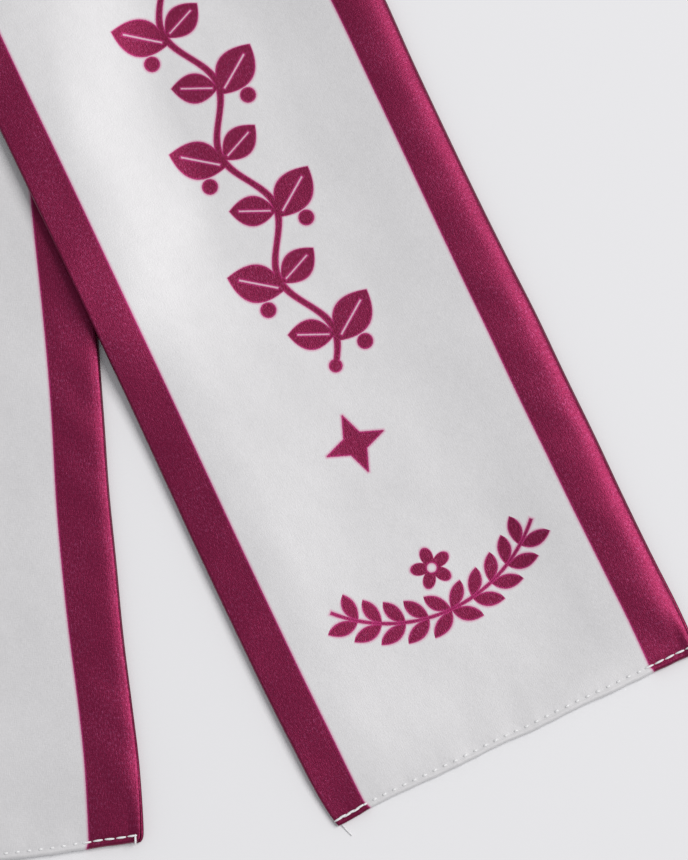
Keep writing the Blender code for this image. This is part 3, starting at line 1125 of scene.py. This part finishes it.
def garland_edge(g, across, up):
    """Distance from a leafy spray that curves up to both sides of the middle."""
    aside = g.size_of(across)
    fall = g.minus(GARLAND_RADIUS, up)
    off_stem = g.minus(g.length_of(aside, fall), GARLAND_RADIUS)
    steps = g.times(g.maths("ARCTAN2", aside, fall), 1 / GARLAND_STEP)
    cell = g.maths("FLOOR", steps)
    along = g.times(g.minus(steps, cell), GARLAND_STEP * GARLAND_RADIUS)
    past = g.minus(cell, GARLAND_LEAVES - 0.5)
    from_stem = g.minus(g.size_of(off_stem), GARLAND_LEAF_INSET)
    leaf = leaf_edge(g, along, from_stem, GARLAND_LEAF)
    leaves = g.most(leaf, g.times(past, GARLAND_LEAF_CUT))
    stem = g.minus(g.size_of(off_stem), GARLAND_STEM)
    past = g.minus(steps, GARLAND_LEAVES + GARLAND_STEM_PAST)
    return g.least(leaves, g.most(stem, g.times(past, GARLAND_STEM_CUT)))


FLOWER_UP = 11.5
FLOWER_PETALS = 5
FLOWER_PETAL = 3.1
FLOWER_HEART = 2.3
FLOWER_OPENING = 1.25


def flower_edge(g, across, up):
    """Distance from a small petalled flower with an open middle."""
    radius = g.length_of(across, up)
    angle = g.maths("ARCTAN2", across, up)
    wave = g.size_of(g.maths("COSINE", g.times(angle, FLOWER_PETALS / 2)))
    blossom = g.minus(radius, g.add(g.times(wave, FLOWER_PETAL), FLOWER_HEART))
    return g.most(blossom, g.minus(FLOWER_OPENING, radius))


Inks = namedtuple("Inks", "satin ink glint rim fringe")

# The print's edge: how ragged it is, and its colours from 1 mm inside to 1 mm outside
RAGGED = Grain((1.0, 1.0, 1.0), 2.6, 2.0, 0.5)
RAGGED_SIZE = 0.22
EDGE_SPAN = Span(-1.0, 1.0)
EDGE_STOPS = ((0.0, "ink"), (0.28, "ink"), (0.40, "rim"), (0.48, "rim"),
              (0.58, "fringe"), (0.84, "satin"))

# Paler weft threads and painted glints of the satin's sheen in the ink, in patches
SPECKLE = Grain((1.0, 0.55, 1.0), 2.1, 3.0, 0.62)
SPECKLE_SPAN = Span(0.50, 0.72)
PATCHES = Grain((1.0, 0.6, 1.0), 0.12, 2.0, 0.5)
PATCHES_SPAN = Span(0.36, 0.66, 0.35, 1.0)
INSIDE_PRINT = Span(-0.45, -0.15, 1.0, 0.0)
GLINT_WEIGHT = 0.62


def printed_colour(g, distance, place, inks):
    """Ground, fringe, rim and ink flecked with paler threads and painted glints, from the
    distance to the print's edge.
    """
    ragged = g.minus(g.noise(place, RAGGED), 0.5)
    distance = g.add(distance, g.times(ragged, RAGGED_SIZE))
    stops = [(position, getattr(inks, ink)) for position, ink in EDGE_STOPS]
    edge = g.ramp(g.span(distance, EDGE_SPAN), stops)
    # Paler threads and painted glints: flecks of the glint colour in patches over the ink
    threads_and_glints = g.span(g.noise(place, SPECKLE), SPECKLE_SPAN)
    patches = g.span(g.noise(place, PATCHES), PATCHES_SPAN)
    on_print = g.times(g.span(distance, INSIDE_PRINT), GLINT_WEIGHT)
    weight = g.times(g.times(threads_and_glints, patches), on_print)
    return g.mix(weight, edge, inks.glint), distance


# The weave, and how its threads, wider mottling and soft clouds change the colour
WEFT = Grain((0.55, 2.6, 1.0), 1.5, 3.0, 0.6)
WARP = Grain((2.6, 0.55, 1.0), 1.5, 3.0, 0.6)
WEAVE_TONE = Span(0.75, 1.25, 0.955, 1.035)
MOTTLE = Grain((1.0, 0.8, 1.0), 0.42, 2.0, 0.5)
MOTTLE_TONE = Span(0.3, 0.7, 0.982, 1.014)
CLOUDS = Grain((1.0, 0.7, 1.0), 0.045, 3.0, 0.5)
CLOUDS_TONE = Span(0.3, 0.7, 0.965, 1.02)

# Gloss of the plain ground and of the ink
ON_INK = Span(-0.3, 0.2, 1.0, 0.0)
WEAVE_ROUGHNESS = Span(0.7, 1.3, 0.31, 0.43)
GROUND_ROUGHER = Span(0.0, 1.0, 0.12, 0.0)
METALLIC = Span(0.0, 1.0, 0.17, 0.76)
RELIEF = Span(0.0, 1.0, 0.35, 0.62)
WEAVE_DEPTH = 0.10 * MM


def satin_material(name, inks, bands, half, sway, prints):
    """Printed satin: bands along both edges, motifs where given, weave and gloss."""
    g = Graph(name)
    place, across, along = g.cut_places()
    bands = [band / MM for band in bands]
    distance = band_edge(g, across, along, bands, half / MM, sway)
    for motif in motif_edges(g, across, along, prints):
        distance = g.least(distance, motif)
    colour, distance = printed_colour(g, distance, place, inks)
    on_ink = g.span(distance, ON_INK)
    weave = g.add(g.noise(place, WEFT), g.noise(place, WARP))
    clouds = g.span(g.noise(place, CLOUDS), CLOUDS_TONE)
    mottle = g.span(g.noise(place, MOTTLE), MOTTLE_TONE)
    tone = g.times(g.times(clouds, mottle), g.span(weave, WEAVE_TONE))
    grey = g.node("ShaderNodeCombineColor", Red=tone, Green=tone, Blue=tone)
    colour = g.mix(1.0, colour, grey.outputs[0], "MULTIPLY")
    roughness = g.add(g.span(on_ink, GROUND_ROUGHER), g.span(weave, WEAVE_ROUGHNESS))
    normal = g.bump(weave, g.span(on_ink, RELIEF), WEAVE_DEPTH)
    return g.finish(colour, roughness, g.span(on_ink, METALLIC), normal)


def motif_edges(g, across, along, prints):
    """Distances from the motifs of the front tail, or nothing for a plain stretch."""
    if prints is None:
        return []
    star_x = g.minus(across, prints.star_across / MM)
    star_y = g.minus(along, prints.star_along / MM)
    garland_up = g.minus(along, prints.garland_along / MM)
    flower_up = g.minus(garland_up, FLOWER_UP)
    return [
        star_edge(g, star_x, star_y, prints.star_reach / MM),
        vine_edge(g, across, along, prints.vine_start / MM, prints.vine_end / MM),
        garland_edge(g, across, garland_up),
        flower_edge(g, across, flower_up),
    ]


# Twist of the thread, with painted shade in its grooves, and how dark, rough and deep they are
TWIST_SCALE = 900.0
TWIST_DISTORTION = 1.5
TWIST_GROOVE_SHADE = 0.86
TWIST_ROUGHNESS = Span(0.0, 1.0, 0.55, 0.42)
TWIST_RELIEF = 0.4
TWIST_DEPTH = 0.05 * MM


def thread_material(colour):
    """White sewing thread with its twist, its grooves darkened as painted shade."""
    g = Graph("sewing thread")
    coordinates = g.node("ShaderNodeTexCoord")
    twist = g.node("ShaderNodeTexWave", Scale=TWIST_SCALE, Distortion=TWIST_DISTORTION,
                   Vector=coordinates.outputs["Object"])
    twist.bands_direction = "DIAGONAL"
    # Painted shade: the twist's grooves are darkened in the thread's colour
    dark = tuple(TWIST_GROOVE_SHADE * part for part in colour)
    shade = g.mix(twist.outputs["Fac"], dark, tuple(colour))
    rough = g.span(twist.outputs["Fac"], TWIST_ROUGHNESS)
    normal = g.bump(twist.outputs["Fac"], TWIST_RELIEF, TWIST_DEPTH)
    return g.finish(shade, rough, 0.0, normal)


TABLE_CLOUDS = Grain((1.0, 1.0, 1.0), 3.0, 2.0, 0.5)
TABLE_DARK = 0.985
TABLE_ROUGHNESS = Span(0.0, 1.0, 0.62, 0.70)
TABLE_SPECULAR = 0.25


def floor_material(colour):
    """Pale smooth table with a faint unevenness."""
    g = Graph("pale table")
    coordinates = g.node("ShaderNodeTexCoord")
    cloud = g.noise(coordinates.outputs["Object"], TABLE_CLOUDS)
    dark = tuple(TABLE_DARK * part for part in colour)
    g.shader.inputs["Specular IOR Level"].default_value = TABLE_SPECULAR
    g.plug(g.shader.inputs["Base Color"], g.mix(cloud, dark, tuple(colour)))
    g.plug(g.shader.inputs["Roughness"], g.span(cloud, TABLE_ROUGHNESS))
    return g.material


def kept_material(name, make):
    """A material of this name, made once."""
    return bpy.data.materials.get(name) or make()


def read_inks(prints):
    """The print's colours as plain tuples."""
    return Inks(*(tuple(getattr(prints, part)) for part in Inks._fields))


def sash_material(name, scene, bands, with_motifs, sway=FRONT_SWAY):
    """The satin of one stretch."""
    prints = scene.sash_print
    return kept_material(name, lambda: satin_material(
        name, read_inks(prints), bands, scene.sash_cut.width / 2, sway,
        prints if with_motifs else None))


# Sewing

StitchEnd = namedtuple("StitchEnd", "past drop")

# Share of its length from the middle past which a stitch is let down, and of its
# thickness by how much
STITCH_ENDS = (StitchEnd(0.30, 0.30), StitchEnd(0.42, 0.35))
STITCH_SEGMENTS = 10
STITCH_RINGS = 8


def add_stitch(length, thickness):
    """Model one stitch at the origin, along X, with its ends let down into the cloth."""
    deselect_all()
    bpy.ops.mesh.primitive_uv_sphere_add(segments=STITCH_SEGMENTS, ring_count=STITCH_RINGS,
                                         radius=0.5, rotation=(0.0, math.pi / 2, 0.0))
    stitch = bpy.context.object
    bpy.ops.object.transform_apply(location=True, rotation=True, scale=True)
    bpy.ops.object.mode_set(mode="EDIT")
    bpy.ops.mesh.select_all(action="SELECT")
    bpy.ops.transform.resize(value=(length, thickness, thickness))
    for end in STITCH_ENDS:
        select_where(stitch, lambda place: abs(place.x) > end.past * length)
        bpy.ops.transform.translate(value=(0.0, 0.0, -end.drop * thickness))
    bpy.ops.object.mode_set(mode="OBJECT")
    bpy.ops.object.shade_smooth()
    return stitch


def select_where(target, wanted):
    """Select a mesh's points by their place, in edit mode."""
    mesh = bmesh.from_edit_mesh(target.data)
    for vert in mesh.verts:
        vert.select = bool(wanted(vert.co))
    mesh.select_flush_mode()
    bmesh.update_edit_mesh(target.data)


def copied(source, matrix):
    """A copy with its own mesh, moved in its mesh."""
    copy = source.copy()
    copy.data = source.data.copy()
    copy.data.transform(matrix)
    bpy.context.scene.collection.objects.link(copy)
    return copy


def joined(name, parts, material):
    """Join parts into one piece at the origin."""
    deselect_all()
    for part in parts:
        part.select_set(True)
    bpy.context.view_layer.objects.active = parts[0]
    bpy.ops.object.join()
    piece = bpy.context.object
    piece.name = name
    piece.data.name = name
    piece.data.materials.clear()
    piece.data.materials.append(material)
    return piece


Sewn = namedtuple("Sewn", "place above turn size")
Chance = namedtuple("Chance", "size step channel")

# On the thinner middle of the hem the thread is drawn deeper, so less of it shows
SUNK_SIZE = 0.52
TAUT_SIZE = 1.13
SUNK_HEIGHT = 0.24
TAUT_HEIGHT = 0.42
TAUT_LEFT = 9.5 * MM
TAUT_RIGHT = 15 * MM

# How far stitches stray from the line and turn off it
STITCH_STRAY = Chance(0.10 * MM, 0.7, 2.0)
STITCH_TURN = Chance(0.16, 1.3, 5.0)

# The front run's ends, from the edges, and the stitches sewn twice at its start
FRONT_RUN_START = 1.5 * MM
FRONT_RUN_END = 1.6 * MM
DOUBLED_COUNT = 3
DOUBLED_SIZE = 1.06
DOUBLED_TURN = 0.03
SECOND_RUN_TURN = -0.02
SECOND_RUN_ABOVE = 0.16 * MM

# The back run's ends, from the edges, and its last stitch, which turns down the strip
BACK_RUN_INSET = 2.6 * MM
LAST_STITCH_ON = 0.9 * MM
LAST_STITCH_ABOVE = -1.0 * MM
LAST_STITCH_TURN = math.radians(84)

# The loose end, from the front hem's left corner, in millimetres
Knot = namedtuple("Knot", "across along height")
LOOSE_KNOTS = (Knot(0.9, 2.0, 0.75), Knot(1.0, 0.4, 0.65), Knot(1.1, -0.5, 0.30),
               Knot(1.4, -1.9, 0.16), Knot(2.1, -3.6, 0.14))
LOOSE_THICKNESS = 0.28 * MM


def stray(kind, index, seed):
    """A small value that differs from stitch to stitch."""
    return kind.size * noise.noise(Vector((index * kind.step, seed, kind.channel)))


def hem_run(tail, pitch, first, last):
    """Stitches at even steps along the hem, a little uneven."""
    run = []
    count = round((last - first) / pitch) + 1
    seed = tail.form.seed
    for index, place in enumerate(spread(first - pitch, last, count)):
        taut = place < -tail.half + TAUT_LEFT or place > tail.half - TAUT_RIGHT
        run.append(Sewn(place, stray(STITCH_STRAY, index, seed),
                        stray(STITCH_TURN, index, seed), TAUT_SIZE if taut else SUNK_SIZE))
    return run


def lay_stitch(stretch, tail_end, sewn, stitch, thread):
    """Copy a stitch to its place on the face."""
    tail = stretch.tail
    row = Row(0.0, 0.0, 0.0)

    def point(place, from_hem, height):
        """A point of the frame from a place on the hem."""
        along = from_hem if stretch.side > 0 else tail_end - from_hem
        return settle(stretch, row, along, place, height)

    from_hem = tail.hem_line(sewn.place) + sewn.above
    out = SUNK_HEIGHT if sewn.size == SUNK_SIZE else TAUT_HEIGHT
    level = tail.face_height(from_hem, sewn.place) + out * thread
    middle = point(sewn.place, from_hem, level)
    ahead = point(sewn.place + MM, tail.hem_line(sewn.place + MM) + sewn.above, level)
    heading = math.atan2(ahead.y - middle.y, ahead.x - middle.x) + sewn.turn
    turned = Matrix.Rotation(heading, 4, "Z") @ Matrix.Scale(sewn.size, 4, (1, 0, 0))
    return copied(stitch, Matrix.Translation(middle) @ turned)


def loose_end(points, thickness):
    """A short end of thread through points, as a mesh."""
    curve = bpy.data.curves.new("loose end", "CURVE")
    curve.dimensions = "3D"
    curve.bevel_depth = thickness / 2
    curve.bevel_resolution = 2
    curve.use_fill_caps = True
    spline = curve.splines.new("NURBS")
    spline.points.add(len(points) - 1)
    for knot, point in zip(spline.points, points):
        knot.co = (*point, 1.0)
    spline.use_endpoint_u = True
    spline.order_u = 3
    select_only(new_object("loose end", curve))
    bpy.ops.object.convert(target="MESH")
    return bpy.context.object


# Operators

def laid_out(context):
    """The layout from the scene's properties."""
    return Layout(context.scene.sash_cut, context.scene.sash_lay)


FINE_STEP = 1.9 * MM
COARSE_STEP = 4.5 * MM
FINE_COLUMNS = 124
BACK_FACE_COLUMNS = 96
COARSE_COLUMNS = 40


class SASH_OT_front_tail(bpy.types.Operator):
    """Model the front tail's face and back panel"""

    bl_idname = "sash.front_tail"
    bl_label = "Front Tail"

    def execute(self, context):
        layout = laid_out(context)
        prints = context.scene.sash_print
        bands = (prints.front_left_band, prints.front_right_band)
        cloth = context.scene.sash_cut.cloth
        printed = sash_material("front printed satin", context.scene, bands, True)
        plain = sash_material("front plain satin", context.scene, bands, False)
        face = make_panel("front_tail_face_satin", front_stretch(layout, FINE_STEP),
                          FINE_COLUMNS, True, cloth, printed)
        back = make_panel("front_tail_back_satin", front_stretch(layout, COARSE_STEP),
                          COARSE_COLUMNS, False, cloth, plain)
        stand_for(back, "front_tail_back")
        stand_for(face, "front_tail_face")
        return {"FINISHED"}


class SASH_OT_neck(bpy.types.Operator):
    """Model the face and back panel between the two folds"""

    bl_idname = "sash.neck"
    bl_label = "Neck"

    def execute(self, context):
        layout = laid_out(context)
        prints = context.scene.sash_print
        bands = (prints.back_left_band, prints.front_right_band)
        cloth = context.scene.sash_cut.cloth
        plain = sash_material("neck satin", context.scene, bands, False)
        stretch = neck_stretch(layout)
        face = make_panel("neck_face_satin", stretch, COARSE_COLUMNS, True, cloth, plain)
        back = make_panel("neck_back_satin", stretch, COARSE_COLUMNS, False, cloth, plain)
        stand_for(face, "neck_face")
        stand_for(back, "neck_back")
        return {"FINISHED"}


class SASH_OT_back_tail(bpy.types.Operator):
    """Model the back tail's face and back panel"""

    bl_idname = "sash.back_tail"
    bl_label = "Back Tail"

    def execute(self, context):
        layout = laid_out(context)
        prints = context.scene.sash_print
        bands = (prints.back_left_band, prints.back_right_band)
        cloth = context.scene.sash_cut.cloth
        plain = sash_material("back tail satin", context.scene, bands, False, BACK_SWAY)
        back = make_panel("back_tail_back_satin", back_stretch(layout, COARSE_STEP),
                          COARSE_COLUMNS, False, cloth, plain)
        face = make_panel("back_tail_face_satin", back_stretch(layout, FINE_STEP),
                          BACK_FACE_COLUMNS, True, cloth, plain)
        stand_for(back, "back_tail_back")
        stand_for(face, "back_tail_face")
        return {"FINISHED"}


class SASH_OT_hem_stitches(bpy.types.Operator):
    """Sew the topstitching of both hems, with its loose end"""

    bl_idname = "sash.hem_stitches"
    bl_label = "Hem Stitches"

    def execute(self, context):
        layout = laid_out(context)
        sewing = context.scene.sash_sewing
        white = kept_material("sewing thread", lambda: thread_material(sewing.colour))
        stitch = add_stitch(sewing.stitch, sewing.thread)
        self.sew_front(layout, sewing, stitch, white)
        self.sew_back(layout, sewing, stitch, white)
        bpy.data.objects.remove(stitch)
        return {"FINISHED"}

    @staticmethod
    def sew_front(layout, sewing, stitch, white):
        """The front hem, sewn twice at its left corner."""
        stretch = front_stretch(layout, COARSE_STEP)
        run = hem_run(stretch.tail, sewing.pitch, -layout.half + FRONT_RUN_START,
                      layout.half - FRONT_RUN_END)
        run[:DOUBLED_COUNT] = [sewn._replace(turn=DOUBLED_TURN, size=DOUBLED_SIZE)
                               for sewn in run[:DOUBLED_COUNT]]
        twice = [sewn._replace(place=sewn.place + 0.5 * sewing.pitch,
                               above=sewn.above + SECOND_RUN_ABOVE, turn=SECOND_RUN_TURN)
                 for sewn in run[:DOUBLED_COUNT]]
        parts = [lay_stitch(stretch, 0.0, sewn, stitch, sewing.thread)
                 for sewn in run + twice]
        parts.append(SASH_OT_hem_stitches.front_end(layout, stretch))
        piece = joined("front_hem_stitches", parts, white)
        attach(piece, BODY)

    @staticmethod
    def front_end(layout, stretch):
        """The loose end past the front hem's left corner, down on the table."""
        corner = settle(stretch, Row(0.0, 0.0, 0.0), 0.0, -layout.half, 0.0)
        along = Vector((*layout.front.along, 0.0)) * MM
        across = Vector((*layout.front.across, 0.0)) * MM
        up = Vector((0.0, 0.0, MM))
        points = [corner + knot.across * across + knot.along * along + knot.height * up
                  for knot in LOOSE_KNOTS]
        return loose_end(points, LOOSE_THICKNESS)

    @staticmethod
    def sew_back(layout, sewing, stitch, white):
        """The back hem, with its last stitch turned down at the right corner."""
        stretch = back_stretch(layout, COARSE_STEP)
        tail_end = layout.arm + layout.back_reach
        edge = layout.half - BACK_RUN_INSET
        run = hem_run(stretch.tail, sewing.pitch, -edge, edge)
        last = run[-1]
        run.append(last._replace(place=last.place + LAST_STITCH_ON,
                                 above=LAST_STITCH_ABOVE, turn=LAST_STITCH_TURN))
        parts = [lay_stitch(stretch, tail_end, sewn, stitch, sewing.thread)
                 for sewn in run]
        piece = joined("back_hem_stitches", parts, white)
        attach(piece, BODY)


# Floor, lamp, surround and camera, in metres and watts
FLOOR_SIZE = 8.0
FLOOR_DROP = 0.15 * MM
SENSOR_HEIGHT_MM = 24.0
KEY_SIZE = 2.1
KEY_DISTANCE = 4.0
KEY_ENERGY = 116.0
KEY_HEIGHT_ANGLE = math.radians(55)
KEY_TURN = math.radians(8)
KEY_COLOUR = (1.0, 0.985, 0.97)
WORLD_STRENGTH = 0.45
WORLD_COLOUR = (0.97, 0.98, 1.0, 1.0)
AIM_HEIGHT = 1.5 * MM
CLIP_START = 0.01


class SASH_OT_stage(bpy.types.Operator):
    """Set the floor, the light and the camera"""

    bl_idname = "sash.stage"
    bl_label = "Stage"

    def execute(self, context):
        stage = context.scene.sash_stage
        layout = laid_out(context)
        point = layout.on_table(layout.front, stage.aim_along, stage.aim_across)
        aim = layout.placed(point, AIM_HEIGHT)
        self.lay_floor(stage)
        self.hang_light(aim)
        self.set_camera(context, stage, aim)
        return {"FINISHED"}

    @staticmethod
    def lay_floor(stage):
        """A wide plain floor just below the sash."""
        deselect_all()
        bpy.ops.mesh.primitive_plane_add(size=FLOOR_SIZE, location=(0, 0, -FLOOR_DROP))
        floor = bpy.context.object
        floor.name = "floor"
        bpy.ops.object.transform_apply(location=True, rotation=False, scale=False)
        floor.data.materials.append(floor_material(tuple(stage.floor)))

    @staticmethod
    def hang_light(aim):
        """A large soft light from the right, and an even pale surround."""
        lamp = bpy.data.lights.new("window", "AREA")
        lamp.shape = "SQUARE"
        lamp.size = KEY_SIZE
        lamp.energy = KEY_ENERGY
        lamp.color = KEY_COLOUR
        window = new_object("window", lamp)
        flat = math.cos(KEY_HEIGHT_ANGLE)
        towards = Vector((flat * math.cos(KEY_TURN), flat * math.sin(KEY_TURN),
                          math.sin(KEY_HEIGHT_ANGLE)))
        window.location = aim + KEY_DISTANCE * towards
        window.rotation_euler = towards.to_track_quat("Z", "Y").to_euler()
        world = bpy.data.worlds.new("pale room")
        bpy.context.scene.world = world
        world.use_nodes = True
        backdrop = world.node_tree.nodes["Background"]
        backdrop.inputs["Color"].default_value = WORLD_COLOUR
        backdrop.inputs["Strength"].default_value = WORLD_STRENGTH

    @staticmethod
    def set_camera(context, stage, aim):
        """The camera above the hems, leaning a little towards the viewer."""
        lens = bpy.data.cameras.new("camera")
        lens.sensor_fit = "VERTICAL"
        lens.sensor_height = SENSOR_HEIGHT_MM
        lens.lens = SENSOR_HEIGHT_MM / 2 / math.tan(stage.view_angle / 2)
        lens.clip_start = CLIP_START
        camera = new_object("camera", lens)
        turn = Euler((stage.tilt, 0.0, stage.turn + context.scene.sash_lay.lean))
        camera.rotation_euler = turn
        camera.location = aim + turn.to_matrix() @ Vector((0.0, 0.0, stage.distance))
        context.scene.camera = camera
        context.scene.view_settings.view_transform = "Standard"


class SASH_PT_sidebar(bpy.types.Panel):
    """Lists the sash's operators and sizes"""

    bl_idname = "SASH_PT_sidebar"
    bl_label = "Pageant Sash"
    bl_space_type = "VIEW_3D"
    bl_region_type = "UI"
    bl_category = "Sash"

    def draw(self, context):
        """Draw the operators, then the sizes and colours."""
        for operator in OPERATORS:
            self.layout.operator(operator.bl_idname)
        for name in GROUPS:
            box = self.layout.box()
            group = getattr(context.scene, name)
            for prop in group.bl_rna.properties:
                if prop.identifier not in ("rna_type", "name"):
                    box.prop(group, prop.identifier)


GROUPS = {
    "sash_cut": SashCut,
    "sash_lay": SashLay,
    "sash_print": SashPrint,
    "sash_sewing": SashSewing,
    "sash_stage": SashStage,
}
OPERATORS = (SASH_OT_back_tail, SASH_OT_neck, SASH_OT_front_tail, SASH_OT_hem_stitches,
             SASH_OT_stage)


def register():
    """Register the properties, the operators and the panel."""
    for name, group in GROUPS.items():
        bpy.utils.register_class(group)
        setattr(bpy.types.Scene, name, PointerProperty(type=group))
    for operator in OPERATORS:
        bpy.utils.register_class(operator)
    bpy.utils.register_class(SASH_PT_sidebar)


def unregister():
    """Take back what register did."""
    bpy.utils.unregister_class(SASH_PT_sidebar)
    for operator in reversed(OPERATORS):
        bpy.utils.unregister_class(operator)
    for name, group in GROUPS.items():
        delattr(bpy.types.Scene, name)
        bpy.utils.unregister_class(group)


def main():
    """Build the sash and its stage."""
    register()
    bpy.ops.sash.back_tail()
    bpy.ops.sash.neck()
    bpy.ops.sash.front_tail()
    bpy.ops.sash.hem_stitches()
    bpy.ops.sash.stage()
    bpy.context.view_layer.update()


if __name__ == "__main__":
    main()
